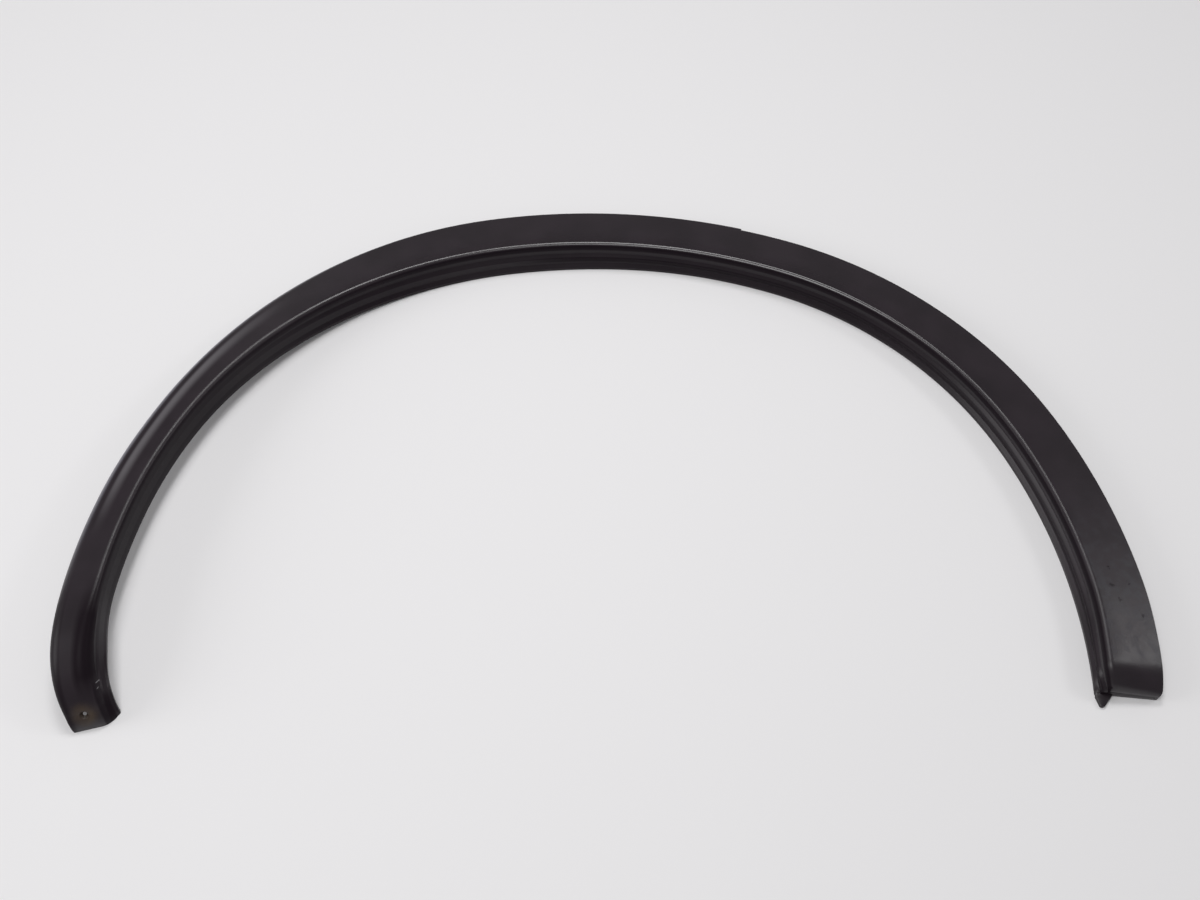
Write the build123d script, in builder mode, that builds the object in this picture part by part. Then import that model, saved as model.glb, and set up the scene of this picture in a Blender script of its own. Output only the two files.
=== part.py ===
"""Wheel arch trim: one thin plastic moulding that frames the opening over a car's wheel.

X runs to the right, Y to the top of the arch and Z out of the face, in millimetres.
The trim lies on its open back: the right run stands on the table and the left leg rises,
then bends down to a flat end with one screw hole.
"""
import math
import os
from collections import namedtuple

from build123d import *

# Wall and heights
WALL = 2.5
HEIGHT = 22.0
LEG_RISE = 15.0

# Crest line seen from the front, from the right end round to the left leg: radius and sweep of each arc
START_X = 313.75
START_Y = -185.71
START_HEADING = 84.4
RIGHT_LEG_RADIUS = 371.0
RIGHT_LEG_SWEEP = 28.3
RIGHT_SHOULDER_RADIUS = 277.0
RIGHT_SHOULDER_SWEEP = 46.9
CROWN_RADIUS = 408.0
CROWN_SWEEP = 30.3
LEFT_SHOULDER_RADIUS = 282.0
LEFT_SHOULDER_SWEEP = 55.1
LEFT_LEG_RADIUS = 354.0
LEFT_LEG_SWEEP = 26.7
TIP_BEND_RADIUS = 150.0
TIP_LENGTH = 54.0
TIP_GIRTH_RATIO = 1.35

# Face, from the crest out to the rolled outer edge
FACE = 36.5
FACE_FALL = 7.0
END_FACE = 34.5
RIGHT_FACE = 36.0
LEG_FACE = 26.3
LEG_FALL = 4.0
LOW_FACE = 25.3
NECK_FACE = 21.6
TIP_FACE = 20.0
TIP_FALL = 2.9

# Outer edge: what is trimmed off it right of the step, its round, and the lip under it
TRIMMED_EDGE = 1.6
EDGE_RADIUS = 2.0
LEG_EDGE_RADIUS = 9.0
TIP_EDGE_RADIUS = 1.0
LIP = 6.0
LEG_LIP = 12.0
TIP_LIP = 4.0

# Bead along the crest, and the stepped inner wall under it
NOSE = 1.5
BEAD_RADIUS = 3.0
LOW_BEAD_RADIUS = 4.5
TIP_BEAD_RADIUS = 12.0
BEAD_WALL = 9.5
LEG_BEAD_WALL = 5.0
GROOVE_STEP = 1.3
LEG_STEP = 0.15
BEAD_LEAN = 0.3
LEG_LEAN = 0.6
TIP_LEAN = 4.8
TIP_CREASE = 1.8
LOW_LEAN = 2.0
LOW_BEAD_WALL = 10.0
LEDGE_PART = 0.25
GROOVE_PART = 0.76
REACH = 5.8
END_REACH = 6.3
CROWN_REACH = 7.8
LEG_REACH = 3.0
BEND_REACH = 2.6
LOW_REACH = 7.2
TIP_REACH = 9.6
FOOT = 2.4
FOOT_WALL = 3.0
TIP_DEPTH = 7.2

# Stations along the crest, measured from the right end
END_BLEND = 70.0
FULL_FACE_AT = 300.0
STEP_AT = 444.0
CROWN_AT = 600.0
LEG_FROM = 640.0
LEG_AT = 925.0
RISE_AT = 975.0

# Stations round the bend of the left end, as parts of its girth from where it starts
LEG_TO = -0.8
BEND_AT = -0.3
LOW_AT = 0.28
NECK_AT = 0.63

# Right end: a roll down to a low end wall, and a pointed tongue of the foot past it
END_ROLL = 14.0
END_DROP = 11.0
END_THINNING = 0.4
TONGUE = 8.6
TONGUE_NOSE = 2.4
TONGUE_SIDE = 2.15
TONGUE_WIDTH = 10.8
TONGUE_GAP = 0.2

# Screw hole in the left end
HOLE_RADIUS = 2.75
HOLE_FROM_CREST = 9.2
HOLE_FROM_END = 15.4

# Largest part of a line that the round at its end may take, at the ends of a run and between two rounds
END_SHARE = 0.9
MIDDLE_SHARE = 0.45

# Spans between the sections of each run, and how far they gather towards its ends
ROLL_PARTS = (0.0, 0.26, 0.6)
RIGHT_SPANS = 16
LEFT_SPANS = 22
TIP_SPANS = 6
GATHERING = 0.1

Section = namedtuple("Section", "face fall edge lip nose bead lean wall step reach foot depth")


def ease(value, low, high):
    """Smooth rise from 0 at low to 1 at high."""
    t = min(max((value - low) / (high - low), 0.0), 1.0)
    return t * t * (3.0 - 2.0 * t)


CREST_ARCS = ((RIGHT_LEG_RADIUS, RIGHT_LEG_SWEEP), (RIGHT_SHOULDER_RADIUS, RIGHT_SHOULDER_SWEEP),
              (CROWN_RADIUS, CROWN_SWEEP), (LEFT_SHOULDER_RADIUS, LEFT_SHOULDER_SWEEP),
              (LEFT_LEG_RADIUS, LEFT_LEG_SWEEP))
CREST_LENGTHS = [radius * math.radians(sweep) for radius, sweep in CREST_ARCS]
TIP_FROM = sum(CREST_LENGTHS)
TIP_GIRTH = TIP_GIRTH_RATIO * TIP_LENGTH
TIP_AT = TIP_FROM + TIP_GIRTH

# Sections that the trim passes through, by station
BODY = Section(FACE, FACE_FALL, EDGE_RADIUS, LIP, NOSE, BEAD_RADIUS, BEAD_LEAN, BEAD_WALL, GROOVE_STEP,
               REACH, FOOT, HEIGHT)
END = BODY._replace(face=END_FACE, lip=HEIGHT - FACE_FALL, reach=END_REACH)
RIGHT = BODY._replace(face=RIGHT_FACE, reach=END_REACH)
CROWN = BODY._replace(reach=CROWN_REACH)
LEG = Section(LEG_FACE, LEG_FALL, LEG_EDGE_RADIUS, LEG_LIP, NOSE, BEAD_RADIUS, LEG_LEAN, LEG_BEAD_WALL,
              LEG_STEP, LEG_REACH, FOOT, HEIGHT)
BEND = LEG._replace(reach=BEND_REACH)
LOW = LEG._replace(face=LOW_FACE, bead=LOW_BEAD_RADIUS, lean=LOW_LEAN, wall=LOW_BEAD_WALL, reach=LOW_REACH)
TIP = Section(TIP_FACE, TIP_FALL, TIP_EDGE_RADIUS, TIP_LIP, 0.0, TIP_BEAD_RADIUS, TIP_LEAN, TIP_CREASE,
              LEG_STEP, TIP_REACH, FOOT, TIP_DEPTH)
NECK = Section(*[0.5 * (low + tip) for low, tip in zip(LOW, TIP)])._replace(face=NECK_FACE)
PASSES = ((0.0, END), (END_BLEND, RIGHT), (FULL_FACE_AT, BODY), (STEP_AT, BODY), (CROWN_AT, CROWN),
          (LEG_FROM, CROWN), (LEG_AT, LEG), (TIP_FROM + LEG_TO * TIP_GIRTH, LEG),
          (TIP_FROM + BEND_AT * TIP_GIRTH, BEND), (TIP_FROM + LOW_AT * TIP_GIRTH, LOW),
          (TIP_FROM + NECK_AT * TIP_GIRTH, NECK), (TIP_AT, TIP))


def crest_plan(length):
    """Point and heading of the crest line at a plan length from the right end."""
    x, y, heading, left = START_X, START_Y, math.radians(START_HEADING), length
    runs = [(radius, arc) for (radius, sweep), arc in zip(CREST_ARCS, CREST_LENGTHS)]
    runs.append((TIP_BEND_RADIUS, TIP_LENGTH))
    for radius, arc in runs:
        turn = min(left, arc) / radius
        x += radius * (math.sin(heading + turn) - math.sin(heading))
        y += radius * (math.cos(heading) - math.cos(heading + turn))
        heading += turn
        left -= min(left, arc)
    return x, y, heading


def tilt(station):
    """Angle by which the section leans over as the left end bends down to the table."""
    return math.radians(90.0) * min(max((station - TIP_FROM) / TIP_GIRTH, 0.0), 1.0)


def section_plane(station):
    """Plane of a section: its X points outwards from the crest, its Y up through the face."""
    lean = tilt(station)
    x, y, heading = crest_plan(min(station, TIP_FROM) + TIP_LENGTH * math.sin(lean))
    top = HEIGHT + LEG_RISE * ease(station, LEG_FROM, RISE_AT)
    z = top - (HEIGHT + LEG_RISE) * (1.0 - math.cos(lean))
    along = Vector(math.cos(heading), math.sin(heading), 0)
    outward = Vector(math.sin(heading), -math.cos(heading), 0)
    up = Vector(0, 0, 1) * math.cos(lean) + along * math.sin(lean)
    return Plane(origin=(x, y, z), x_dir=outward, z_dir=outward.cross(up))


def section_at(station, trimmed):
    """Sizes of the section at a station: a smooth blend between the two nearest ones."""
    sizes = PASSES[0][1]
    for (low, first), (high, second) in zip(PASSES[:-1], PASSES[1:]):
        if station >= low:
            blend = ease(station, low, high)
            sizes = Section(*[a + (b - a) * blend for a, b in zip(first, second)])
    if trimmed:
        return sizes._replace(edge=0.0)
    wider = 1.0 + TRIMMED_EDGE * (1.0 - ease(station, LEG_FROM, LEG_AT)) / (sizes.face + sizes.nose)
    return sizes._replace(face=(sizes.face + sizes.nose) * wider - sizes.nose, fall=sizes.fall * wider)


def skin_corners(s):
    """Corners of the visible side, from the lip over the bead and down to the foot."""
    lip_end = Vector(s.face, -s.fall - s.lip)
    edge = Vector(s.face, -s.fall)
    bead = Vector(-s.nose, 0)
    crease = Vector(-s.nose - s.lean, -s.wall)
    foot_top = Vector(-s.reach, s.foot - s.depth)
    ledge = crease + (foot_top - crease) * LEDGE_PART - Vector(s.step, 0)
    groove = crease + (foot_top - crease) * GROOVE_PART + Vector(s.step, 0)
    return [lip_end, edge, bead, crease, ledge, groove, foot_top, Vector(-s.reach, -s.depth)]


def back_corners(s):
    """Corners of the hollow side: the visible side moved in by the wall, from the foot back to the lip."""
    lip_end, edge, bead, crease, _, _, foot_top, foot = skin_corners(s)
    behind = Vector(s.step, 0)
    rail = [lip_end, edge, bead, crease + behind, foot_top + behind]
    ways = [(b - a).normalized() for a, b in zip(rail[:-1], rail[1:])]
    inward = [Vector(-way.Y, way.X) for way in ways]
    turns = [corner + (one + two) * (WALL / (1.0 + one.dot(two)))
             for corner, one, two in zip(rail[1:-1], inward[:-1], inward[1:])]
    return [foot + Vector(FOOT_WALL, 0)] + turns[::-1] + [lip_end - Vector(WALL, 0)]


def rounded_run(corners, radii, flat=False):
    """Lines through the corners, each inner one rounded or cut flat by its radius; 0 leaves it sharp."""
    last = corners[0]
    for i, radius in enumerate(radii, 1):
        corner = corners[i]
        if radius == 0:
            Line(last, corner)
            last = corner
            continue
        back, ahead = corners[i - 1] - corner, corners[i + 1] - corner
        room = min(back.length * (END_SHARE if i == 1 else MIDDLE_SHARE),
                   ahead.length * (END_SHARE if i == len(radii) else MIDDLE_SHARE))
        back, ahead = back.normalized(), ahead.normalized()
        half = 0.5 * math.acos(max(-1.0, min(1.0, back.dot(ahead))))
        cut = min(radius / math.tan(half), room)
        enter, leave = corner + back * cut, corner + ahead * cut
        Line(last, enter)
        if flat:
            Line(enter, leave)
        else:
            round_off = cut * math.tan(half) * (1.0 / math.sin(half) - 1.0)
            ThreePointArc(enter, corner + (back + ahead).normalized() * round_off, leave)
        last = leave
    Line(last, corners[-1])


def squashed(points, depth, factor):
    """The section's points brought down towards its base."""
    return [Vector(p.X, (p.Y + depth) * factor - depth) for p in points]


def roll_height(station, wall):
    """Height of the crest, or of the hollow one wall below it, in the parabolic roll at the right end."""
    short = 1.0 - min(max((station - wall) / (END_ROLL - wall), 0.0), 1.0)
    return HEIGHT - wall - (END_DROP - END_THINNING * wall) * short ** 2


def outline(station, trimmed, hollow):
    """Closed outline of the section at a station, either filled or as the thin wall."""
    s = section_at(station, trimmed)
    front = squashed(skin_corners(s), s.depth, roll_height(station, 0.0) / HEIGHT)
    back = squashed(back_corners(s), s.depth, roll_height(station, WALL) / (HEIGHT - WALL))
    back[-1] = front[0] - Vector(WALL, 0)
    rounded_run(front, [s.edge, s.bead, 0, 0, 0, 0])
    Line(front[-1], back[0])
    if hollow:
        rounded_run(back, [0, 0, s.edge * (1.0 - WALL / LEG_EDGE_RADIUS)], flat=True)
    else:
        Line(back[0], back[-1])
    Line(back[-1], front[0])


def skin_place(station, across):
    """Point on the face at a station, at a width from the crest."""
    s = section_at(station, False)
    return section_plane(station).from_local_coords(
        Vector(across, -s.fall * (across + s.nose) / (s.face + s.nose)))


def gathered(low, high, count):
    """Stations from low to high that lie closer together towards both ends."""
    parts = [i / count for i in range(count + 1)]
    return [low + (high - low) * (part - GATHERING * math.sin(2.0 * math.pi * part)) for part in parts]


# Stations of the right end wall, of the trimmed right run and of the left run
END_STATIONS = [0.0, WALL]
RIGHT_STATIONS = [WALL + (END_ROLL - WALL) * part for part in ROLL_PARTS]
RIGHT_STATIONS += gathered(END_ROLL, STEP_AT, RIGHT_SPANS)
LEFT_STATIONS = gathered(STEP_AT, TIP_FROM, LEFT_SPANS)
LEFT_STATIONS += [TIP_FROM + TIP_GIRTH * part / TIP_SPANS for part in range(1, TIP_SPANS + 1)]
RUNS = ((END_STATIONS, True, False), (RIGHT_STATIONS, True, True), (LEFT_STATIONS, False, True))

with BuildPart() as wheel_arch_trim:
    # Pointed tongue of the foot past the right end wall
    end = section_plane(0.0)
    with BuildSketch(Plane(origin=(START_X, START_Y, TONGUE_GAP), x_dir=end.x_dir, z_dir=(0, 0, 1))):
        with BuildLine():
            left_side = TONGUE_GAP - END.reach
            Polyline((left_side, 0.5 * WALL), (left_side, -TONGUE_SIDE),
                     (left_side + TONGUE_NOSE, -TONGUE), (left_side + 2.0 * TONGUE_NOSE, -TONGUE),
                     (left_side + TONGUE_WIDTH, 0), (left_side + TONGUE_WIDTH, 0.5 * WALL), close=True)
        make_face()
    extrude(amount=FOOT - TONGUE_GAP)

    # End wall, trimmed right run and left run: each a thin section carried along the crest
    for stations, trimmed, hollow in RUNS:
        for station in stations:
            with BuildSketch(section_plane(station)):
                with BuildLine():
                    outline(station, trimmed, hollow)
                make_face()
        loft()

    # Screw hole, square to the face at the left end
    hole_at = TIP_AT - HOLE_FROM_END
    along = skin_place(hole_at + 0.5, HOLE_FROM_CREST) - skin_place(hole_at - 0.5, HOLE_FROM_CREST)
    across = skin_place(hole_at, HOLE_FROM_CREST + 0.5) - skin_place(hole_at, HOLE_FROM_CREST - 0.5)
    with BuildSketch(Plane(skin_place(hole_at, HOLE_FROM_CREST), z_dir=across.cross(along))):
        Circle(HOLE_RADIUS)
    extrude(amount=3.0 * WALL, both=True, mode=Mode.SUBTRACT)

wheel_arch_trim.part.label = "wheel_arch_trim"
os.makedirs("parts", exist_ok=True)
export_step(wheel_arch_trim.part, "parts/wheel_arch_trim.step")
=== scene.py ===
"""Looks of the wheel arch trim: a worn, black, finely grained plastic moulding on a pale floor.

X runs to the right, Y to the top of the arch and Z out of the face. Sizes are in millimetres and become
metres when a mesh is made.
"""
import math

import bpy
import numpy as np
from mathutils import Euler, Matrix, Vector


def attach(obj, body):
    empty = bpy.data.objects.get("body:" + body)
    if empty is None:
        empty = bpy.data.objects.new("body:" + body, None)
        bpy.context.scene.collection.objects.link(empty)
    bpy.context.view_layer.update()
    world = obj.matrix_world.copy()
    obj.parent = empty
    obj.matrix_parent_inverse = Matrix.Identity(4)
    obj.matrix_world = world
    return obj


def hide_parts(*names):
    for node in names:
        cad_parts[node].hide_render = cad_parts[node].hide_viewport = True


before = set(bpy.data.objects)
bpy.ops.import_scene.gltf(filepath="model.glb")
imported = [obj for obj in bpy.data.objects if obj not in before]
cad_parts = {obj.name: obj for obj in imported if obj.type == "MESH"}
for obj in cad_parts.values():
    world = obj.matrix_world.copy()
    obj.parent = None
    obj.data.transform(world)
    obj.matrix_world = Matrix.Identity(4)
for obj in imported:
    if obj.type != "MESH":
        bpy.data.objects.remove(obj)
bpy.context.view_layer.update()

bl_info = {
    "name": "Wheel arch trim",
    "version": (1, 0, 0),
    "blender": (4, 5, 0),
    "location": "View3D > Sidebar > Arch trim",
    "description": "Builds the worn plastic look of a wheel arch trim around its packed solid",
    "category": "Object",
}

NODE = "wheel_arch_trim"
SLOT = "black_plastic"
MM = 0.001

# Wall and heights
WALL = 2.5
FOOT_WALL = 1.2 * WALL
HEIGHT = 22.0
LEG_RISE = 15.0

# Crest line seen from the front: start, heading, then radius and sweep of each arc to the left leg
START = (313.75, -185.71)
START_HEADING = 84.4
CREST_ARCS = ((371.0, 28.3), (277.0, 46.9), (408.0, 30.3), (282.0, 55.1), (354.0, 26.7))
TIP_BEND_RADIUS = 150.0
TIP_LENGTH = 54.0
TIP_FROM = sum(radius * math.radians(sweep) for radius, sweep in CREST_ARCS)
TIP_GIRTH = 1.35 * TIP_LENGTH
TIP_AT = TIP_FROM + TIP_GIRTH

# Stations along the crest, measured from the right end
END_BLEND = 70.0
FULL_FACE_AT = 300.0
STEP_AT = 444.0
CROWN_AT = 600.0
LEG_FROM = 640.0
LEG_AT = 925.0
RISE_AT = 975.0
LEG_TO = TIP_FROM - 0.8 * TIP_GIRTH
BEND_AT = TIP_FROM - 0.3 * TIP_GIRTH
LOW_AT = TIP_FROM + 0.28 * TIP_GIRTH
NECK_AT = TIP_FROM + 0.63 * TIP_GIRTH

# Right end: a roll down to a low end wall with a soft corner, and a pointed tongue of the foot past it
END_ROLL = 17.0
END_DROP = 11.0
ROLL_POWER = 2.4
ROLL_SKEW = 1.5
SKEW_AT = 0.5 * END_ROLL
SKEW_TO = 1.4 * END_ROLL
END_THINNING = 0.4
END_TURN = 2.5
END_TURN_DROP = 3.0
END_TURN_SIDE = 1.2
END_DRAW = 5.0
TONGUE = 8.6
TONGUE_NOSE = 2.4
TONGUE_SIDE = 2.15
TONGUE_WIDTH = 10.8
TONGUE_GAP = 0.2
TONGUE_ROOT = 0.5 * WALL

# The tongue's corner rounds, the points on its straights and turns, and the depths below its top with the
# share of the outline at each
TONGUE_ROUNDS = (2.0, 1.6, 2.2, 0.6)
TONGUE_STRAIGHTS = (3, 4, 3, 5, 2)
TONGUE_TURNS = (4, 4, 4, 3)
TONGUE_TOP = ((0.6, 1.0), (0.18, 0.965), (0.0, 0.87))

# Screw hole in the left end
HOLE_FROM_CREST = 9.2
HOLE_FROM_END = 15.4
HOLE_AT = TIP_AT - HOLE_FROM_END
HOLE_BLOCK = 4.8
HOLE_SOFT = 0.35
HOLE_LIP = 0.3 * HOLE_SOFT
HOLE_TAPER = 1.6

# Sections that the trim passes through. The face has a width and a fall, its edge a round and a lip below it.
# The bead's nose stands inside the crest and has a round. Under it the inner wall leans in down to the
# crease, steps in at the ledge and out at the groove, and reaches in to the foot, all within the depth
SIZES = ("face", "fall", "edge", "lip", "nose", "bead", "lean", "wall", "step", "reach", "foot", "depth")
BODY = dict(face=36.5, fall=7.0, edge=2.0, lip=6.0, nose=1.5, bead=4.0, lean=0.3, wall=9.5, step=1.3,
            reach=5.8, foot=2.4, depth=HEIGHT)
END = dict(BODY, face=33.4, lip=HEIGHT - BODY["fall"], nose=4.0, reach=6.3)
RIGHT = dict(BODY, face=36.0, reach=6.3)
CROWN = dict(BODY, reach=7.8)
LEG = dict(BODY, face=26.3, fall=4.0, edge=9.0, lip=12.0, bead=5.5, lean=0.6, wall=5.0, step=0.15, reach=3.0)
BEND = dict(LEG, reach=2.6)
LOW = dict(LEG, face=25.3, bead=8.0, lean=0.9, wall=13.0, reach=7.2)
TIP = dict(LEG, face=20.0, fall=2.9, edge=1.0, lip=4.0, nose=0.0, bead=12.0, lean=4.8, wall=1.8, reach=9.6,
           depth=7.2)
NECK = dict({size: 0.5 * (LOW[size] + TIP[size]) for size in SIZES}, face=21.6)
PASSES = ((0.0, END), (END_BLEND, RIGHT), (FULL_FACE_AT, BODY), (STEP_AT, BODY), (CROWN_AT, CROWN),
          (LEG_FROM, CROWN), (LEG_AT, LEG), (LEG_TO, LEG), (BEND_AT, BEND), (LOW_AT, LOW), (NECK_AT, NECK),
          (TIP_AT, TIP))

# How far and with how many samples the bend is evened, the width added left of the step, the gap of close
# rows, the places of ledge and groove between crease and foot, and the back's share of the edge's round
BEND_SPREAD = 17.0
BEND_SAMPLES = 5
TRIMMED_EDGE = 2.3
SEAM = 0.02
LEDGE_PART = 0.25
GROOVE_PART = 0.76
BACK_SHARE = 1.0 - WALL / LEG["edge"]

# Shares of a straight line that a round at its end may take: alone on it, beside another, the bead's own, and
# the one past the bead
LONE_SHARE = 0.9
EVEN_SHARE = 0.45
BEAD_SHARE = 0.85
PAST_BEAD_SHARE = 0.95 - BEAD_SHARE

# Rows of the mesh on the end wall, the roll, the run to the step, the run to the bend, and the bend
ROWS = (11, 18, 181, 259, 61)

# Columns of the mesh on each straight stretch and round of the section, in order round it
FRONT_STRAIGHTS = (5, 26, 5, 3, 5, 3, 3)
FRONT_ROUNDS = (9, 17, 4, 4, 4, 4)
BACK_STRAIGHTS = (5, 4, 26, 3)
BACK_ROUNDS = (3, 4, 6)
RIM_COLUMNS = 2
HOLE_RINGS = 5
FRONT_COLUMNS = sum(FRONT_STRAIGHTS) + sum(FRONT_ROUNDS) + 1
BACK_FROM = FRONT_COLUMNS + RIM_COLUMNS - 1
FACE_COLUMNS = FRONT_STRAIGHTS[0] + FRONT_ROUNDS[0] + np.arange(FRONT_STRAIGHTS[1] + 1)
BACK_FACE_FROM = BACK_FROM + sum(BACK_STRAIGHTS[:2]) + sum(BACK_ROUNDS[:2])
BACK_FACE_COLUMNS = BACK_FACE_FROM + np.arange(BACK_STRAIGHTS[2] + 1)
SHARP_DEG = 32.0

# Steps for the slopes at the screw hole, and rounds of Newton's method
PROBE = 0.5
NEWTON_STEP = 0.01
NEWTON_ROUNDS = 6

# Bands, the places in the section that the plastic's marks go by. Its corners are 0 lip, 1 edge, 2 bead,
# 3 crease, 4 ledge, 5 groove, 6 top of the foot and 7 foot, each with its round to both sides
ROUND_BAND = 0.2
FACE_BAND = 1.5
TONGUE_BAND = 6.5
FOOT_RIM_BAND = 7.5
BACK_BAND = 9.0

# Textures of the plastic: scale and detail of each noise, and the levels between which it rises
MOTTLE_NOISE = (30.0, 4.0)
MOTTLE_RISE = (0.3, 0.7)
MOTTLE_TINTS = (0.85, 1.2)
BLOTCH_NOISE = (160.0, 3.0)
BLOTCH_RISE = (0.42, 0.68)
GRAIN_NOISE = (1500.0, 2.0)
FINE_GRAIN_NOISE = (3600.0, 1.0)
FINE_GRAIN_SHARE = 0.6
GRAIN_STRENGTH = 0.25
SMOOTH_BEAD = (1.55, 1.78, 2.22, 2.45)
SMOOTH_BEAD_SHARE = 0.9
JITTER_NOISE = (420.0, 3.0)
JITTER_REACH = 6.0 * MM
NOISE_MIDDLE = (0.5, 0.5, 0.5)

# Marks on the plastic, each as its zone across the section and its level along the crest. A zone is the bands
# at which the mark starts, is full, fades and is gone. A level is the value at the right end and then its
# changes, each with the two stations that it lies between
DUST = ((1.0, 1.2, 1.8, 2.0), 0.0, ((1.0, 12.0, 24.0), (-1.0, 50.0, 150.0)))
# Painted reflection: a lighter line along the outer edge of the left shoulder and leg
PAINTED_EDGE_REFLECTION = ((0.83, 0.94, 1.06, 1.17), 0.0, ((1.0, 660.0, 720.0), (-1.0, 950.0, 1050.0)))
# Painted highlight: a lighter band on the rolled edge of the left shoulder and leg
PAINTED_ROLL_HIGHLIGHT = ((1.22, 1.32, 1.34, 1.56), 0.0, ((1.0, 770.0, 870.0), (-1.0, 940.0, 1005.0)))
BEAD_GLOSS = ((1.6, 1.85, 2.15, 2.4), -0.9,
              ((1.2, 30.0, 130.0), (0.7, 150.0, 350.0), (0.5, 290.0, 380.0), (-0.5, 500.0, 590.0),
               (-1.4, 720.0, 820.0)))

# Painted shade, dull and dark, by where it lies in the inner wall, under the bead, in the groove and over the
# bend
PAINTED_SHADE = dict(
    inner_wall=((2.22, 2.42, 7.1, 7.3), 0.1,
                ((0.35, 80.0, 280.0), (0.15, 640.0, 720.0), (0.15, 820.0, 890.0), (-0.35, 1030.0, 1070.0))),
    under_bead=((1.98, 2.06, 2.25, 2.6), 0.92, ((-0.184, 640.0, 800.0),)),
    groove=((3.4, 3.8, 4.5, 4.9), 0.65, ((0.2, 150.0, 350.0), (-0.85, 560.0, 680.0))),
    bend_valley=((1.45, 1.85, 2.15, 2.4), 0.0, ((1.0, 1020.0, 1060.0), (-1.0, 1088.0, 1115.0))),
    bend_fold=((2.1, 2.25, 4.4, 5.0), 0.0, ((0.85, 1098.0, 1120.0),)),
    bend_crease=((2.1, 2.25, 3.1, 3.7), 0.0, ((0.65, 1035.0, 1065.0),)),
    bend_edge=((0.6, 0.82, 1.14, 1.36), 0.0, ((0.7, 1020.0, 1060.0),)),
    bend_face=((1.1, 1.3), 0.0, ((0.3, 1020.0, 1060.0), (-0.3, 1092.0, 1115.0))))
SHADE_AND_SPECKS_MOST = 0.94

# Dark specks with their radii, and painted shade at the right end where the inner wall meets the end wall
SPECKS = (((326.9, -117.8, 19.3), 1.6), ((338.7, -115.3, 17.1), 1.3), ((330.0, -128.3, 18.9), 1.2),
          ((343.5, -137.7, 16.3), 1.5), ((327.3, -104.7, 19.0), 1.2))
SPECK_LEVEL = 0.65
SPECK_CORE = 0.3
SPECK_REACH = 1.3
JUNCTION_SHADE = (314.1, -184.7, 10.3)
JUNCTION_SHADE_CORE = 0.88
JUNCTION_SHADE_REACH = 2.2

# Two scratches near the screw hole, and the rust round it, each partly even and partly broken up by blotches
SCRATCHES = (((-317.2, -182.4, 18.0), (-317.8, -187.5, 22.7)),
             ((-316.4, -186.9, 18.0), (-316.7, -188.8, 19.2)))
SCRATCH_WIDTH = 0.42
SCRATCH_CORE = 0.3
SCRATCH_EVEN = 0.55
RUST_CORE = 3.0
RUST_REACH = 11.0
RUST_EVEN = 0.6
RUST_TINT = 0.55

# Colours of the marks, what each adds to the roughness, and the surface of the painted shade and specks
DUST_COLOUR = (0.024, 0.0205, 0.027, 1.0)
PAINTED_EDGE_REFLECTION_COLOUR = (0.12, 0.115, 0.14, 1.0)
PAINTED_ROLL_HIGHLIGHT_COLOUR = (0.105, 0.097, 0.105, 1.0)
SCRATCH_COLOUR = (0.6, 0.59, 0.6, 1.0)
MOTTLE_ROUGHER = 0.05
BEAD_SMOOTHER = 0.09
DUST_ROUGHER = 0.06
RUST_ROUGHER = 0.15
SHADE_AND_SPECKS_TINT = 0.4
SHADE_AND_SPECKS_SURFACE = {"Roughness": 0.7, "Specular IOR Level": 0.12, "Specular Tint": (1.0, 0.8, 0.97, 1.0)}

# Soft lamps: place and width in metres, and power in watts
LAMPS = (("lamp_main", (-0.38, -0.38, 1.85), 0.9, 12.5), ("lamp_back", (0.0, 0.85, 1.7), 0.6, 9.0),
         ("lamp_left", (-1.95, -0.1, 0.85), 1.0, 9.0), ("lamp_window", (1.43, 0.28, 1.09), 0.35, 2.4),
         ("lamp_low", (-0.95, 1.75, 0.36), 0.35, 0.8))
LAMP_TARGET = Vector((0.0, 0.0, 0.02))

# Floor and room light, then the camera: its place in metres, its tilt down and width of view in degrees
FLOOR_HALF = 6.0
FLOOR_UNDER = -0.1 * MM
FLOOR_ROUGHNESS = 0.6
ROOM_COLOUR = (1.0, 0.99, 1.0, 1.0)
CAMERA_AT = (-0.00545, -0.4667, 0.743)
CAMERA_DOWN = 58.0
CAMERA_VIEW = 52.0
CAMERA_SENSOR = 36.0


class TrimLook(bpy.types.PropertyGroup):
    """Sizes and colours of the moulding that a user would change."""

    soft_corner: bpy.props.FloatProperty(
        name="Soft corner", description="How far each moulded corner of the inner wall is rounded",
        default=0.45 * MM, min=0.0, unit="LENGTH")
    cut_edge: bpy.props.FloatProperty(
        name="Cut edge", description="Round of the trimmed outer edge on the right",
        default=0.4 * MM, min=0.0, unit="LENGTH")
    hole_radius: bpy.props.FloatProperty(
        name="Hole radius", description="Radius of the screw hole", default=2.75 * MM, min=0.0, unit="LENGTH")
    grain_depth: bpy.props.FloatProperty(
        name="Grain depth", description="Depth of the fine grain", default=0.06 * MM, min=0.0, unit="LENGTH")
    roughness: bpy.props.FloatProperty(
        name="Roughness", description="Roughness of the clean plastic", default=0.31, min=0.0, max=1.0,
        subtype="FACTOR")
    plastic: bpy.props.FloatVectorProperty(
        name="Plastic", description="Colour of the clean plastic", default=(0.0134, 0.0080, 0.0122),
        size=3, min=0.0, max=1.0, subtype="COLOR")
    rust: bpy.props.FloatVectorProperty(
        name="Rust", description="Colour of the stain round the screw hole", default=(0.085, 0.052, 0.02),
        size=3, min=0.0, max=1.0, subtype="COLOR")


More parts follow.
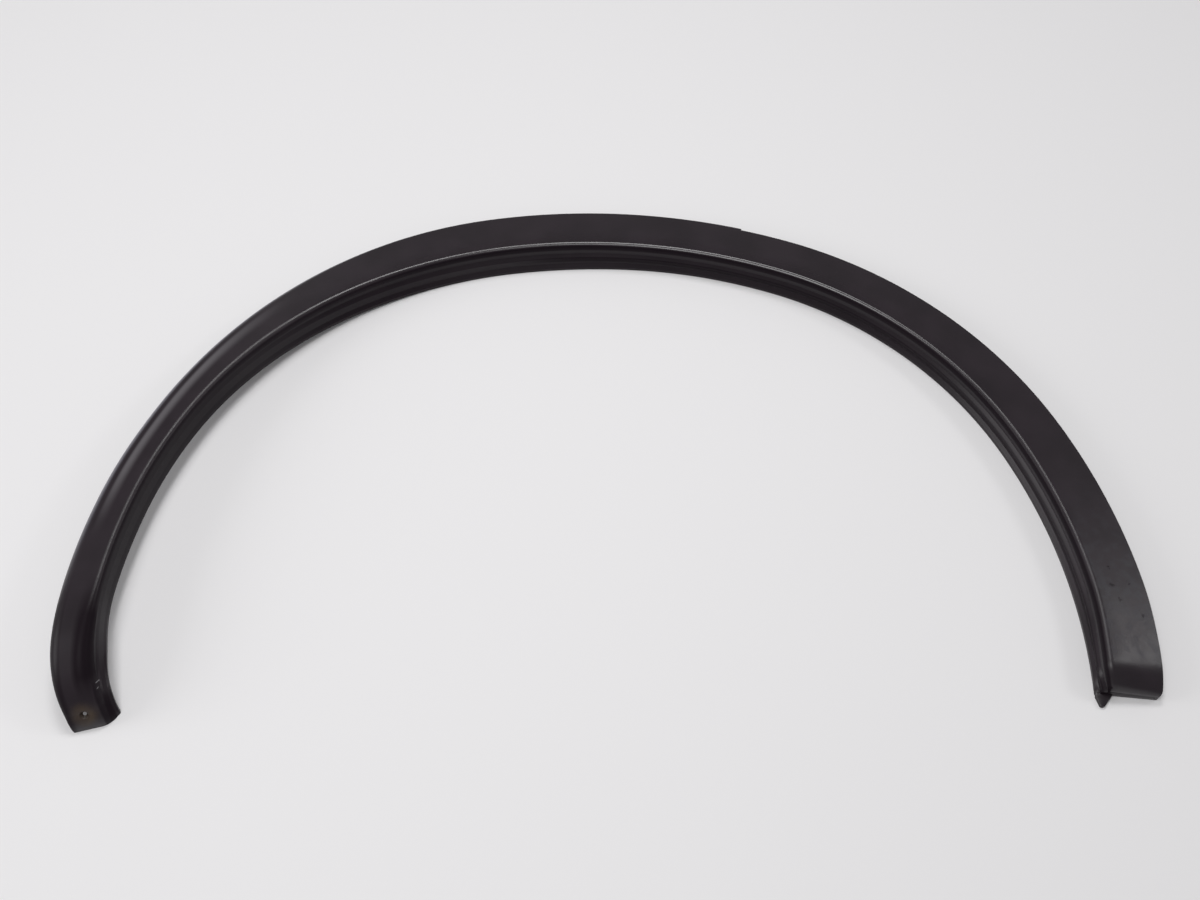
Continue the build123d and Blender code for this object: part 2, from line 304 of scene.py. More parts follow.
class StageLook(bpy.types.PropertyGroup):
    """Floor and lights."""

    floor: bpy.props.FloatVectorProperty(
        name="Floor", description="Colour of the pale floor", default=(0.86, 0.853, 0.862),
        size=3, min=0.0, max=1.0, subtype="COLOR")
    room: bpy.props.FloatProperty(
        name="Room", description="Level of the light from all round", default=0.27, min=0.0)
    lamps: bpy.props.FloatProperty(
        name="Lamps", description="Level of all the lamps together", default=1.0, min=0.0)


def ease(value, low, high):
    """Smooth rise from 0 at low to 1 at high."""
    t = np.clip((value - low) / (high - low), 0.0, 1.0)
    return t * t * (3.0 - 2.0 * t)


def unit(vectors):
    """Vectors of length 1 along the last axis."""
    return vectors / np.linalg.norm(vectors, axis=-1, keepdims=True)


def crest_plan(length):
    """Plan of the crest: a chain of tangent arcs, each as long as is left of the length, at its heading."""
    runs = [(radius, radius * math.radians(sweep)) for radius, sweep in CREST_ARCS]
    runs.append((TIP_BEND_RADIUS, TIP_LENGTH))
    heading = np.full_like(length, math.radians(START_HEADING))
    x, y, left = np.full_like(length, START[0]), np.full_like(length, START[1]), length.copy()
    for radius, arc in runs:
        turn = np.minimum(left, arc) / radius
        x += radius * (np.sin(heading + turn) - np.sin(heading))
        y += radius * (np.cos(heading) - np.cos(heading + turn))
        heading += turn
        left = left - np.minimum(left, arc)
    return x, y, heading


def nearby(station):
    """Stations close to each one, spread out on the left leg, over which its form is evened."""
    spread = BEND_SPREAD * ease(station, LEG_AT, TIP_FROM - TIP_GIRTH)
    spread = spread * (1.0 - ease(station, HOLE_AT, TIP_AT))
    return [station + offset * spread for offset in np.linspace(-1.0, 1.0, BEND_SAMPLES)]


def section_frames(station):
    """Origin, outward and upward directions of each section: the mean of those nearby."""
    origin, outward, up = (np.mean(parts, axis=0) for parts in zip(*map(exact_frames, nearby(station))))
    return origin, unit(outward), unit(up)


def exact_frames(station):
    """Origin, outward and upward directions of each section.

    The crest rises smoothly to the left leg; past TIP_FROM it follows a quarter turn down to the floor,
    and the section leans over by the same angle.
    """
    lean = np.radians(90.0) * np.clip((station - TIP_FROM) / TIP_GIRTH, 0.0, 1.0)
    x, y, heading = crest_plan(np.minimum(station, TIP_FROM) + TIP_LENGTH * np.sin(lean))
    z = HEIGHT + LEG_RISE * ease(station, LEG_FROM, RISE_AT) - (HEIGHT + LEG_RISE) * (1.0 - np.cos(lean))
    flat = np.zeros_like(x)
    along = np.stack([np.cos(heading), np.sin(heading), flat], -1)
    outward = np.stack([np.sin(heading), -np.cos(heading), flat], -1)
    up = np.cos(lean)[:, None] * np.array([0.0, 0.0, 1.0]) + np.sin(lean)[:, None] * along
    return np.stack([x, y, z], -1), outward, up


def section_sizes(station, trimmed, cut_edge):
    """Sizes at each station: a smooth blend between the two nearest sections, wider left of the step.

    On the left leg each size is the mean of the blends nearby, so that the bend runs on evenly.
    """
    places = np.array([place for place, _ in PASSES])
    table = np.array([[section[size] for size in SIZES] for _, section in PASSES])
    blends = []
    for near in nearby(station):
        low = np.clip(np.searchsorted(places, near, side="right") - 1, 0, len(places) - 2)
        part = ease(near, places[low], places[low + 1])[:, None]
        blends.append(table[low] + (table[low + 1] - table[low]) * part)
    s = dict(zip(SIZES, np.mean(blends, axis=0).T))
    wide = s["face"] + s["nose"]
    wider = 1.0 + np.where(trimmed, 0.0, TRIMMED_EDGE * (1.0 - ease(station, LEG_FROM, LEG_AT))) / wide
    s["face"], s["fall"] = wide * wider - s["nose"], s["fall"] * wider
    s["edge"] = np.where(trimmed, cut_edge, s["edge"])
    return s


def points(*pairs):
    """Corner points of all sections, from pairs of coordinate arrays."""
    return [np.stack(np.broadcast_arrays(a, b), -1) for a, b in pairs]


def skin_corners(s):
    """Corners of the visible side: lip end, edge, bead, crease, ledge, groove, top of the foot, foot."""
    crease = np.stack([-s["nose"] - s["lean"], -s["wall"]], -1)
    foot_top = np.stack([-s["reach"], s["foot"] - s["depth"]], -1)
    step = np.stack([s["step"], 0.0 * s["step"]], -1)
    lip_end, edge, bead, foot = points((s["face"], -s["fall"] - s["lip"]), (s["face"], -s["fall"]),
                                       (-s["nose"], 0.0 * s["nose"]), (-s["reach"], -s["depth"]))
    ledge = crease + (foot_top - crease) * LEDGE_PART - step
    groove = crease + (foot_top - crease) * GROOVE_PART + step
    return [lip_end, edge, bead, crease, ledge, groove, foot_top, foot]


def back_corners(s):
    """Corners of the hollow side: the visible side moved in by the wall, mitred, from the foot to the lip."""
    lip_end, edge, bead, crease, _, _, foot_top, foot = skin_corners(s)
    behind = np.stack([s["step"], 0.0 * s["step"]], -1)
    rail = [lip_end, edge, bead, crease + behind, foot_top + behind]
    ways = [unit(b - a) for a, b in zip(rail[:-1], rail[1:])]
    into = [np.stack([-way[:, 1], way[:, 0]], -1) for way in ways]
    turns = [corner + (one + two) * (WALL / (1.0 + (one * two).sum(-1)))[:, None]
             for corner, one, two in zip(rail[1:-1], into[:-1], into[1:])]
    return [foot + (FOOT_WALL, 0.0)] + turns[::-1] + [lip_end - (WALL, 0.0)]


def round_shares(corner, last, bead):
    """Shares of the lines behind and ahead of a corner that its round may take."""
    behind = LONE_SHARE if corner == 1 else EVEN_SHARE
    ahead = LONE_SHARE if corner == last else EVEN_SHARE
    if bead and corner == bead:
        ahead = BEAD_SHARE
    if bead and corner == bead + 1:
        behind = PAST_BEAD_SHARE
    return behind, ahead


def rounded_run(corners, radii, straights, rounds, bead=0):
    """A run of straight lines through the corners with a circular round at each inner one.

    The round of radius r leaves its lines r / tan(half angle) from the corner, or less where a line is
    short; its points are the turned mean of the two end radii. The bead's round may take most of the line
    past it. Returns (sections, columns, 2).
    """
    parts, last = [], corners[0]
    for i, radius in enumerate(radii, 1):
        corner = corners[i]
        back, ahead = corners[i - 1] - corner, corners[i + 1] - corner
        behind_share, ahead_share = round_shares(i, len(radii), bead)
        room = np.minimum(np.linalg.norm(back, axis=-1) * behind_share,
                          np.linalg.norm(ahead, axis=-1) * ahead_share)
        back, ahead = unit(back), unit(ahead)
        half = 0.5 * np.arccos(np.clip((back * ahead).sum(-1), -1.0, 1.0))
        cut = np.minimum(radius / np.tan(half), room)
        round_radius = cut * np.tan(half)
        centre = corner + unit(back + ahead) * (round_radius / np.sin(half))[:, None]
        enter, leave = corner + back * cut[:, None], corner + ahead * cut[:, None]
        part = np.linspace(0.0, 1.0, straights[i - 1], endpoint=False)[None, :, None]
        parts.append(last[:, None] + (enter - last)[:, None] * part)
        turn = (math.pi - 2.0 * half)[:, None]
        part = np.linspace(0.0, 1.0, rounds[i - 1], endpoint=False)[None, :]
        first = (np.sin((1.0 - part) * turn) / np.sin(turn))[..., None] * (enter - centre)[:, None]
        second = (np.sin(part * turn) / np.sin(turn))[..., None] * (leave - centre)[:, None]
        parts.append(centre[:, None] + first + second)
        last = leave
    part = np.linspace(0.0, 1.0, straights[-1] + 1)[None, :, None]
    parts.append(last[:, None] + (corners[-1] - last)[:, None] * part)
    return np.concatenate(parts, axis=1)


def squashed(corners, depth, factor):
    """Corners brought down towards the base of their section."""
    return [np.stack([c[:, 0], (c[:, 1] + depth) * factor - depth], -1) for c in corners]


def roll_part(station, wall):
    """How far the roll at the right end has come down: a power curve from 0 at its start to 1 at the wall."""
    return (1.0 - np.clip((station - wall) / (END_ROLL - wall), 0.0, 1.0)) ** ROLL_POWER


def roll_height(station, wall):
    """Height of the crest, or of the hollow a wall below it, in the roll at the right end."""
    return HEIGHT - wall - (END_DROP - END_THINNING * wall) * roll_part(station, wall)


def end_turn(station):
    """How far the end wall's soft corner has turned over: a quarter round from 0 beside it to 1 on it."""
    return 1.0 - np.sqrt(1.0 - np.clip(1.0 - station / END_TURN, 0.0, 1.0) ** 2)


def section_loops(station, trimmed, hollow, look):
    """Closed outline of each section: the visible side, the rim of the foot, the back and the rim of the lip.

    Where the section isn't hollow, the back's columns lie on the straight line of its base.
    """
    s = section_sizes(station, trimmed, look.cut_edge / MM)
    s["nose"] = s["nose"] - END_DRAW * roll_part(station, 0.0)
    height = roll_height(station, 0.0) - END_TURN_DROP * end_turn(station)
    front = squashed(skin_corners(s), s["depth"], height / HEIGHT)
    back = squashed(back_corners(s), s["depth"], roll_height(station, WALL) / (HEIGHT - WALL))
    back[-1] = front[0] - (WALL, 0.0)
    soft = np.full_like(station, look.soft_corner / MM)
    skin = rounded_run(front, [s["edge"], s["bead"], soft, soft, soft, soft],
                       FRONT_STRAIGHTS, FRONT_ROUNDS, bead=2)
    inside = rounded_run(back, [soft, soft, np.maximum(s["edge"] * BACK_SHARE, soft)],
                         BACK_STRAIGHTS, BACK_ROUNDS)
    base = np.linspace(0.0, 1.0, inside.shape[1])[None, :, None]
    filled = back[0][:, None] + (back[-1] - back[0])[:, None] * base
    inside = np.where(hollow[:, None, None], inside, filled)
    rim = np.linspace(0.0, 1.0, RIM_COLUMNS + 1)[1:-1][None, :, None]
    foot_rim = skin[:, -1:] + (inside[:, :1] - skin[:, -1:]) * rim
    lip_rim = inside[:, -1:] + (skin[:, :1] - inside[:, -1:]) * rim
    loops = np.concatenate([skin, foot_rim, inside, lip_rim], axis=1)
    outer = np.clip(loops[..., 0] / s["face"][:, None], 0.0, 1.0)
    share = np.clip(loops[..., 1] / s["depth"][:, None] + 1.0, 0.0, 1.0)
    skew = ROLL_SKEW * ease(station, 0.0, SKEW_AT) * (1.0 - ease(station, SKEW_AT, SKEW_TO))
    loops[..., 0] -= END_TURN_SIDE * end_turn(station)[:, None] * outer
    loops[..., 1] -= skew[:, None] * outer * share
    return loops


def placed(station, local):
    """Points of sections, given as outward and upward sizes, in the part's frame."""
    origin, outward, up = section_frames(station)
    return origin[:, None] + local[..., :1] * outward[:, None] + local[..., 1:] * up[:, None]


def inward(station):
    """Direction square to the face's line and into the wall, for each station."""
    s = section_sizes(station, np.zeros(station.shape, bool), 0.0)
    return unit(np.stack([-s["fall"], -s["face"] - s["nose"]], -1))


def wall_point(station, across, depth):
    """Point at a width from the crest on the face's line, sunk square to it by a depth, for each station."""
    s = section_sizes(station, np.zeros(station.shape, bool), 0.0)
    wide = np.stack([s["face"] + s["nose"], -s["fall"]], -1)
    bead = np.stack([-s["nose"], 0.0 * s["nose"]], -1)
    local = bead + wide * ((across + s["nose"]) / wide[:, 0])[:, None] + inward(station) * depth
    return placed(station, local[:, None])[:, 0]


def station_rows():
    """Stations of the mesh's rows, whether each is right of the step, and whether it is hollow.

    Two rows lie close together at the end wall's inner side, and two at the step in the outer edge.
    """
    wall, roll, right, left, bend = ROWS
    runs = [WALL * np.linspace(0.0, 1.0, wall) ** 2, np.linspace(WALL + SEAM, END_ROLL, roll),
            np.linspace(END_ROLL, STEP_AT, right)[1:], np.linspace(STEP_AT + SEAM, TIP_FROM, left),
            np.linspace(TIP_FROM, TIP_AT, bend)[1:]]
    station = np.concatenate(runs)
    ends = np.cumsum([len(run) for run in runs])
    row = np.arange(len(station))
    return station, row < ends[2], row >= ends[0]


def quads_between(rows):
    """Quads between neighbouring points of a grid of indices."""
    a, b, c, d = rows[:-1, :-1], rows[1:, :-1], rows[1:, 1:], rows[:-1, 1:]
    return np.stack([a, b, c, d], -1)


def hole_frame():
    """Point of the screw hole on the face, and the directions along and across the face there."""
    at = np.full(1, HOLE_AT)
    along = wall_point(at + PROBE, HOLE_FROM_CREST, 0.0) - wall_point(at - PROBE, HOLE_FROM_CREST, 0.0)
    across = wall_point(at, HOLE_FROM_CREST + PROBE, 0.0) - wall_point(at, HOLE_FROM_CREST - PROBE, 0.0)
    return wall_point(at, HOLE_FROM_CREST, 0.0), unit(along), unit(np.cross(along, np.cross(across, along)))


def around_hole(angle, radius, depth):
    """Stations and widths of the wall's points, at a depth, that lie at a radius from the hole's axis.

    Newton's method: what is missing along and across is divided by the slopes of the wall's point.
    """
    here, along, across = hole_frame()

    def flat(place):
        offset = wall_point(place[:, 0], place[:, 1], depth) - here
        return np.stack([(offset * along).sum(-1), (offset * across).sum(-1)], -1)

    place = np.tile([HOLE_AT, HOLE_FROM_CREST], (len(angle), 1))
    goal = radius * np.stack([np.cos(angle), np.sin(angle)], -1)
    step = NEWTON_STEP
    for _ in range(NEWTON_ROUNDS):
        now = flat(place)
        slopes = np.stack([flat(place + (step, 0.0)) - now, flat(place + (0.0, step)) - now], -1) / step
        place = place + np.linalg.solve(slopes, (goal - now)[..., None])[..., 0]
    return place


def block_loop(rows, columns):
    """Rows and columns met on the way round a block of the grid."""
    row = np.concatenate([np.full(len(columns) - 1, rows[0]), rows[:-1],
                          np.full(len(columns) - 1, rows[-1]), rows[:0:-1]])
    column = np.concatenate([columns[:-1], np.full(len(rows) - 1, columns[-1]),
                             columns[:0:-1], np.full(len(rows) - 1, columns[0])])
    return row, column


def pierced(station, local, index, look):
    """The screw hole: loops from a block's edge on the face, through the wall, to a block's edge on the back.

    Between a block's edge and the hole's circle the loops blend evenly by station and width. Returns the new
    points, their stations, the quads, and which of the grid's own quads stay.
    """
    rows = np.flatnonzero(np.abs(station - HOLE_AT) < HOLE_BLOCK)
    widths = local[rows[len(rows) // 2], :, 0]
    front = FACE_COLUMNS[np.abs(widths[FACE_COLUMNS] - HOLE_FROM_CREST) < HOLE_BLOCK]
    sunk = WALL * inward(station)[:, 0]
    back = BACK_FACE_COLUMNS[::-1]
    nearest = np.argmin(np.abs(widths[back] - sunk[rows[0]] - HOLE_FROM_CREST))
    back = back[nearest - len(front) // 2:][:len(front)]
    row, column = block_loop(rows, front)
    back_column = block_loop(rows, back)[1]
    edge = np.stack([station[row], local[row, column, 0]], -1)
    back_edge = np.stack([station[row], local[row, back_column, 0] - sunk[row]], -1)
    here, along, across = hole_frame()
    offset = placed(station[row], local[row, column][:, None])[:, 0] - here
    angle = np.arctan2((offset * across).sum(-1), (offset * along).sum(-1))
    radius = look.hole_radius / MM
    shares = np.linspace(0.0, 1.0, HOLE_RINGS + 1)[1:, None, None]
    rim = around_hole(angle, radius + HOLE_SOFT, 0.0)
    narrow = radius - HOLE_TAPER
    back_rim = around_hole(angle, narrow + HOLE_SOFT, WALL)
    bore = [(radius + HOLE_LIP, HOLE_LIP), (radius, HOLE_SOFT), (narrow, WALL - HOLE_SOFT),
            (narrow + HOLE_LIP, WALL - HOLE_LIP)]
    levels = [(place, 0.0) for place in edge + (rim - edge) * shares]
    levels += [(around_hole(angle, wide, depth), depth) for wide, depth in bore]
    levels += [(place, WALL) for place in back_edge + (back_rim - back_edge) * shares[::-1]]
    verts = np.concatenate([wall_point(place[:, 0], place[:, 1], depth) for place, depth in levels])
    stations = np.concatenate([place[:, 0] for place, _ in levels])
    rings = index.max() + 1 + np.arange(len(verts)).reshape(len(levels), -1)
    loops = np.concatenate([index[row, column][None], rings, index[row, back_column][None]])
    loops = np.concatenate([loops, loops[:, :1]], axis=1)
    stay = np.ones((index.shape[0] - 1, index.shape[1] - 1), bool)
    for columns in (front, back[::-1]):
        stay[rows[0]:rows[-1], columns[0]:columns[-1]] = False
    return verts, stations, quads_between(loops).reshape(-1, 4), stay


def column_bands():
    """Band of each column of the section: whole numbers at its corners, from 0, the lip, to 7, the foot."""
    parts = []
    for i, (straight, turn) in enumerate(zip(FRONT_STRAIGHTS, FRONT_ROUNDS + (1,)), 1):
        first = i - 1 + ROUND_BAND if i > 1 else 0.0
        parts.append(np.linspace(first, i - ROUND_BAND, straight, endpoint=False))
        parts.append(np.linspace(i - ROUND_BAND, i + ROUND_BAND, turn, endpoint=False))
    parts.append(np.full(RIM_COLUMNS - 1, FOOT_RIM_BAND))
    parts.append(np.full(sum(BACK_STRAIGHTS) + sum(BACK_ROUNDS) + 1, BACK_BAND))
    parts.append(np.zeros(RIM_COLUMNS - 1))
    return np.concatenate(parts)


def tongue_mesh(first):
    """The pointed tongue: an outline with rounded corners at four levels, drawn in at its soft top."""
    left = TONGUE_GAP - END["reach"]
    right = left + TONGUE_WIDTH
    corners = np.array([(left, TONGUE_ROOT), (left, -TONGUE_SIDE), (left + TONGUE_NOSE, -TONGUE),
                        (left + 2.0 * TONGUE_NOSE, -TONGUE), (right, 0.0), (right, TONGUE_ROOT)])
    radii = [np.full(1, radius) for radius in TONGUE_ROUNDS]
    outline = rounded_run(list(corners[:, None]), radii, TONGUE_STRAIGHTS, TONGUE_TURNS)[0]
    middle = outline.mean(0)
    levels = [(TONGUE_GAP, 1.0)] + [(END["foot"] - depth, share) for depth, share in TONGUE_TOP]
    x, y, heading = crest_plan(np.zeros(1))
    outward = np.array([math.sin(heading[0]), -math.cos(heading[0])])
    along = np.array([math.cos(heading[0]), math.sin(heading[0])])
    rings = []
    for height, share in levels:
        flat = middle + (outline - middle) * share
        plan = np.array([x[0], y[0]]) + flat[:, :1] * outward + flat[:, 1:] * along
        rings.append(np.column_stack([plan, np.full(len(plan), height)]))
    index = first + np.arange(len(levels) * len(outline)).reshape(len(levels), -1)
    index = np.concatenate([index, index[:, :1]], axis=1)
    caps = [index[-1, :-1], index[0, :-1][::-1]]
    return np.concatenate(rings), quads_between(index[::-1]).reshape(-1, 4), caps


def moulding_mesh(look):
    """The moulding as one closed grid: stations run along it and columns run round its thin section.

    The screw hole is let into the grid, and the tongue stands in its end wall. Returns points, quads, flat
    caps, and the station and band of each point.
    """
    station, trimmed, hollow = station_rows()
    local = section_loops(station, trimmed, hollow, look)
    grid = placed(station, local)
    rows, columns = grid.shape[:2]
    index = np.arange(rows * columns).reshape(rows, columns)
    index = np.concatenate([index, index[:, :1]], axis=1)
    caps = [index[0, :-1], index[-1, :-1][::-1]]
    hole, hole_stations, hole_quads, stay = pierced(station, local, index, look)
    tongue, tongue_quads, tongue_caps = tongue_mesh(index.max() + 1 + len(hole))
    verts = np.concatenate([grid.reshape(-1, 3), hole, tongue])
    quads = np.concatenate([quads_between(index)[stay], hole_quads, tongue_quads])
    stations = np.concatenate([np.repeat(station, columns), hole_stations, np.zeros(len(tongue))])
    bands = np.concatenate([np.tile(column_bands(), rows), np.full(len(hole), FACE_BAND),
                            np.full(len(tongue), TONGUE_BAND)])
    return verts, quads, caps + tongue_caps, stations, bands


def new_piece(name, verts, quads, caps, sharp_deg):
    """An object at the origin from points in millimetres, quads and flat caps, smooth with sharp corners."""
    mesh = bpy.data.meshes.new(name)
    faces = quads.tolist() + [cap.tolist() for cap in caps]
    mesh.from_pydata((verts * MM).tolist(), [], faces)
    mesh.update()
    mesh.shade_smooth()
    mesh.set_sharp_from_angle(angle=math.radians(sharp_deg))
    piece = bpy.data.objects.new(name, mesh)
    bpy.context.scene.collection.objects.link(piece)
    return piece


def keep_values(piece, name, values):
    """Keeps one number for each point of a piece, for its material to read."""
    piece.data.attributes.new(name, "FLOAT", "POINT").data.foreach_set("value", values.astype(np.float32))


class Shade:
    """A value, colour or vector in a material's node tree; arithmetic on values adds Math nodes."""

    def __init__(self, tree, socket=None):
        self.tree = tree
        self.socket = socket

    def node(self, kind, settings=None, values=None, out=0):
        """Adds a node, with its settings first and then its sockets' values or links; wraps one output."""
        node = self.tree.nodes.new(kind)
        for name, value in (settings or {}).items():
            setattr(node, name, value)
        for name, value in (values or {}).items():
            if isinstance(value, Shade):
                self.tree.links.new(value.socket, node.inputs[name])
            else:
                node.inputs[name].default_value = value
        return Shade(self.tree, node.outputs[out] if node.outputs else None)

    def math(self, operation, other, swapped=False):
        """A Math node on this value and another, in this order or swapped."""
        values = (other, self) if swapped else (self, other)
        return self.node("ShaderNodeMath", {"operation": operation}, dict(enumerate(values)))

    def __add__(self, other):
        return self.math("ADD", other)

    def __sub__(self, other):
        return self.math("SUBTRACT", other)

    def __mul__(self, other):
        return self.math("MULTIPLY", other)

    def __rsub__(self, other):
        return self.math("SUBTRACT", other, swapped=True)

    __radd__ = __add__
    __rmul__ = __mul__

    def rise(self, low, high):
        """Smooth step from 0 at low to 1 at high."""
        return self.node("ShaderNodeMapRange", {"interpolation_type": "SMOOTHSTEP"},
                         {"Value": self, "From Min": low, "From Max": high})

    def between(self, start, full, fade=None, gone=None):
        """Smooth step from 0 at start to 1 at full, and back to 0 from fade to gone where those are given."""
        rise = self.rise(start, full)
        return rise if fade is None else rise * (1.0 - self.rise(fade, gone))

    def course(self, level, changes):
        """A level plus each of its changes, made smoothly between two places."""
        for change, low, high in changes:
            level = level + change * self.rise(low, high)
        return level

    def mix(self, first, second):
        """Colour that goes from the first to the second as this value goes from 0 to 1."""
        return self.node("ShaderNodeMix", {"data_type": "RGBA"}, {0: self, 6: first, 7: second}, out=2)

    def vector(self, operation, first, second, out=0):
        """A Vector Math node on two vectors."""
        return self.node("ShaderNodeVectorMath", {"operation": operation}, {0: first, 1: second}, out)

    def near(self, place, spot, flat, end):
        """1 within a distance flat of a spot, in millimetres, smoothly down to 0 at a distance end."""
        away = self.vector("DISTANCE", place, Vector(spot) * MM, out="Value")
        return 1.0 - away.rise(flat * MM, end * MM)

    def stroke(self, place, start, end, width):
        """1 on the line from start to end, in millimetres, smoothly down to 0 at a width from it."""
        way = (Vector(end) - Vector(start)) * MM
        offset = self.vector("SUBTRACT", place, Vector(start) * MM)
        part = self.vector("DOT_PRODUCT", offset, way / way.length_squared, out="Value")
        part = part.math("MAXIMUM", 0.0).math("MINIMUM", 1.0)
        nearest = self.node("ShaderNodeVectorMath", {"operation": "SCALE"}, {0: way, "Scale": part})
        away = self.vector("DISTANCE", offset, nearest, out="Value")
        return 1.0 - away.rise(SCRATCH_CORE * width * MM, width * MM)

    def noise(self, place, scale, detail, out=0):
        """A noise texture at a place."""
        return self.node("ShaderNodeTexNoise", None, {"Vector": place, "Scale": scale, "Detail": detail}, out)

    def jittered(self, place):
        """Places moved a little at random, so that what is drawn with them is ragged."""
        shift = self.vector("SUBTRACT", self.noise(place, *JITTER_NOISE, out="Color"), NOISE_MIDDLE)
        return self.vector("ADD", place, self.vector("MULTIPLY", shift, (JITTER_REACH,) * 3))


def black_plastic(look):
    """Grained black plastic: mottling, right-leg dust, rust, scratches, specks, painted highlights and
    painted shade.
    """
    material = bpy.data.materials.new(SLOT)
    material.use_nodes = True
    tree = material.node_tree
    tree.nodes.clear()
    shade = Shade(tree)
    place = shade.node("ShaderNodeTexCoord", out="Object")
    station = shade.node("ShaderNodeAttribute", {"attribute_name": "station"}, out="Fac")
    band = shade.node("ShaderNodeAttribute", {"attribute_name": "band"}, out="Fac")

    def mark(zone, level, changes):
        """A mark's zone across the section times its level along the crest."""
        return band.between(*zone) * station.course(level, changes)

    mottle = shade.noise(place, *MOTTLE_NOISE).rise(*MOTTLE_RISE)
    blotch = shade.noise(place, *BLOTCH_NOISE).rise(*BLOTCH_RISE)
    dust = blotch * mark(*DUST)
    rust = shade.near(place, hole_frame()[0][0], RUST_CORE, RUST_REACH)
    rust = rust * (RUST_EVEN + (1.0 - RUST_EVEN) * blotch)
    scratch = 0.0
    for start, end in SCRATCHES:
        scratch = scratch + shade.stroke(place, start, end, SCRATCH_WIDTH)
    scratch = scratch * (SCRATCH_EVEN + (1.0 - SCRATCH_EVEN) * blotch)

    plastic = np.array(look.plastic)
    darker, lighter = ((*(tint * plastic), 1.0) for tint in MOTTLE_TINTS)
    colour = mottle.mix(darker, lighter)
    colour = dust.mix(colour, DUST_COLOUR)
    # Painted reflection: a lighter line along the outer edge on the left
    colour = mark(*PAINTED_EDGE_REFLECTION).mix(colour, PAINTED_EDGE_REFLECTION_COLOUR)
    # Painted highlight: a lighter band on the rolled edge on the left
    colour = mark(*PAINTED_ROLL_HIGHLIGHT).mix(colour, PAINTED_ROLL_HIGHLIGHT_COLOUR)
    colour = (RUST_TINT * rust).mix(colour, (*look.rust, 1.0))
    colour = scratch.mix(colour, SCRATCH_COLOUR)

    grain = shade.noise(place, *GRAIN_NOISE) + FINE_GRAIN_SHARE * shade.noise(place, *FINE_GRAIN_NOISE)
    grain = grain * (1.0 - SMOOTH_BEAD_SHARE * band.between(*SMOOTH_BEAD))
    bump = shade.node("ShaderNodeBump", None,
                      {"Height": grain, "Strength": GRAIN_STRENGTH, "Distance": look.grain_depth})
    roughness = look.roughness + MOTTLE_ROUGHER * mottle - BEAD_SMOOTHER * mark(*BEAD_GLOSS)
    roughness = roughness + DUST_ROUGHER * dust + RUST_ROUGHER * rust

    # Painted shade at the right end's junction, in the inner wall, under the bead, in the groove and over the
    # bend, plus the real dark specks
    shade_and_specks = shade.near(place, JUNCTION_SHADE, JUNCTION_SHADE_CORE, JUNCTION_SHADE_REACH)
    for where in PAINTED_SHADE.values():
        shade_and_specks = shade_and_specks.math("MAXIMUM", mark(*where))
    ragged = shade.jittered(place)
    for spot, radius in SPECKS:
        speck = shade.near(ragged, spot, SPECK_CORE * radius, SPECK_REACH * radius)
        shade_and_specks = shade_and_specks.math("MAXIMUM", SPECK_LEVEL * speck)
    shade_and_specks = shade_and_specks.math("MINIMUM", SHADE_AND_SPECKS_MOST) * (1.0 - scratch.math("MINIMUM", 1.0))

    clean = shade.node("ShaderNodeBsdfPrincipled", None,
                       {"Base Color": colour, "Roughness": roughness, "Normal": bump})
    # Dull dark surface for the painted shade and for the dark specks
    dull = shade.node("ShaderNodeBsdfPrincipled", None,
                      {"Base Color": (*(SHADE_AND_SPECKS_TINT * plastic), 1.0), "Normal": bump, **SHADE_AND_SPECKS_SURFACE})
    both = shade.node("ShaderNodeMixShader", None, {0: shade_and_specks, 1: clean, 2: dull})
    shade.node("ShaderNodeOutputMaterial", None, {"Surface": both})
    return material


class BuildMoulding(bpy.types.Operator):
    """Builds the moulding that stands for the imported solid"""

    bl_idname = "arch_trim.build_moulding"
    bl_label = "Moulding"

    def execute(self, context):
        look = context.scene.trim_look
        verts, quads, caps, stations, bands = moulding_mesh(look)
        piece = new_piece("arch_moulding", verts, quads, caps, SHARP_DEG)
        keep_values(piece, "station", stations)
        keep_values(piece, "band", bands)
        piece.data.materials.append(black_plastic(look))
        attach(piece, "root")
        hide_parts(NODE)
        return {"FINISHED"}


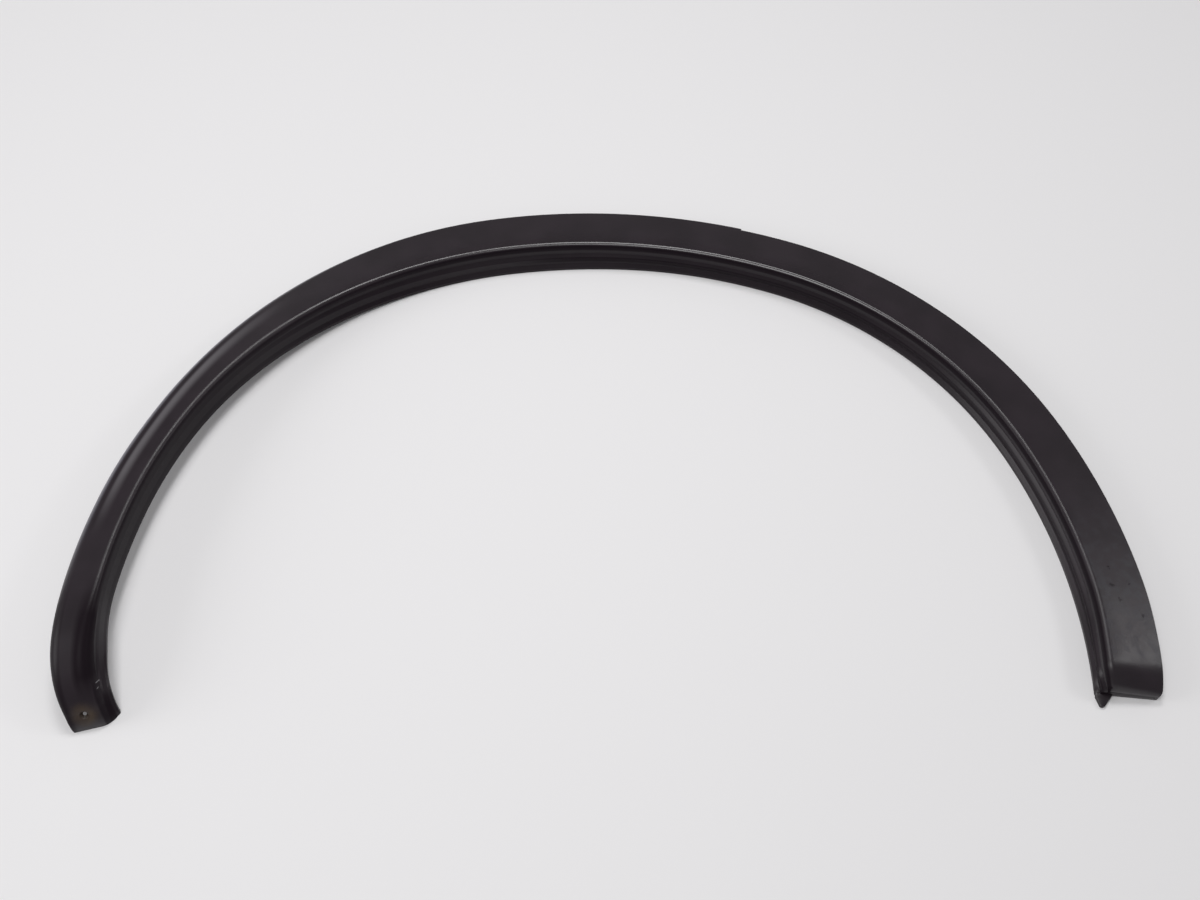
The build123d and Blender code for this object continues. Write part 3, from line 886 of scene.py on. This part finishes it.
class BuildStage(bpy.types.Operator):
    """Lays the floor, hangs the lamps and sets the camera"""

    bl_idname = "arch_trim.build_stage"
    bl_label = "Stage"

    def execute(self, context):
        scene = context.scene
        look = scene.stage_look
        half, under = FLOOR_HALF, FLOOR_UNDER
        mesh = bpy.data.meshes.new("floor")
        corners = [(-half, -half, under), (half, -half, under), (half, half, under), (-half, half, under)]
        mesh.from_pydata(corners, [], [(0, 1, 2, 3)])
        floor = bpy.data.objects.new("floor", mesh)
        scene.collection.objects.link(floor)
        material = bpy.data.materials.new("pale_floor")
        material.use_nodes = True
        shader = material.node_tree.nodes["Principled BSDF"]
        shader.inputs["Base Color"].default_value = (*look.floor, 1.0)
        shader.inputs["Roughness"].default_value = FLOOR_ROUGHNESS
        mesh.materials.append(material)

        world = bpy.data.worlds.new("room")
        world.use_nodes = True
        background = world.node_tree.nodes["Background"]
        background.inputs["Color"].default_value = ROOM_COLOUR
        background.inputs["Strength"].default_value = look.room
        scene.world = world

        for name, place, size, power in LAMPS:
            light = bpy.data.lights.new(name, "AREA")
            light.shape = "DISK"
            light.size = size
            light.energy = power * look.lamps
            lamp = bpy.data.objects.new(name, light)
            lamp.location = place
            lamp.rotation_euler = (LAMP_TARGET - Vector(place)).to_track_quat("-Z", "Y").to_euler()
            scene.collection.objects.link(lamp)

        view = bpy.data.cameras.new("photo_view")
        view.sensor_width = CAMERA_SENSOR
        view.lens = 0.5 * CAMERA_SENSOR / math.tan(math.radians(0.5 * CAMERA_VIEW))
        camera = bpy.data.objects.new("photo_view", view)
        camera.location = CAMERA_AT
        camera.rotation_euler = Euler((math.radians(90.0 - CAMERA_DOWN), 0.0, 0.0))
        scene.collection.objects.link(camera)
        scene.camera = camera
        scene.view_settings.view_transform = "Standard"
        return {"FINISHED"}


class ArchTrimPanel(bpy.types.Panel):
    """Lists the operators and settings of the trim"""

    bl_idname = "VIEW3D_PT_arch_trim"
    bl_label = "Arch trim"
    bl_space_type = "VIEW_3D"
    bl_region_type = "UI"
    bl_category = "Arch trim"

    def draw(self, context):
        for group in (context.scene.trim_look, context.scene.stage_look):
            for name in group.__annotations__:
                self.layout.prop(group, name)
        for operator in (BuildMoulding, BuildStage):
            self.layout.operator(operator.bl_idname)


CLASSES = (TrimLook, StageLook, BuildMoulding, BuildStage, ArchTrimPanel)


def register():
    for cls in CLASSES:
        bpy.utils.register_class(cls)
    bpy.types.Scene.trim_look = bpy.props.PointerProperty(type=TrimLook)
    bpy.types.Scene.stage_look = bpy.props.PointerProperty(type=StageLook)


def unregister():
    del bpy.types.Scene.stage_look
    del bpy.types.Scene.trim_look
    for cls in reversed(CLASSES):
        bpy.utils.unregister_class(cls)


def main():
    register()
    bpy.ops.arch_trim.build_moulding()
    bpy.ops.arch_trim.build_stage()


if __name__ == "__main__":
    main()
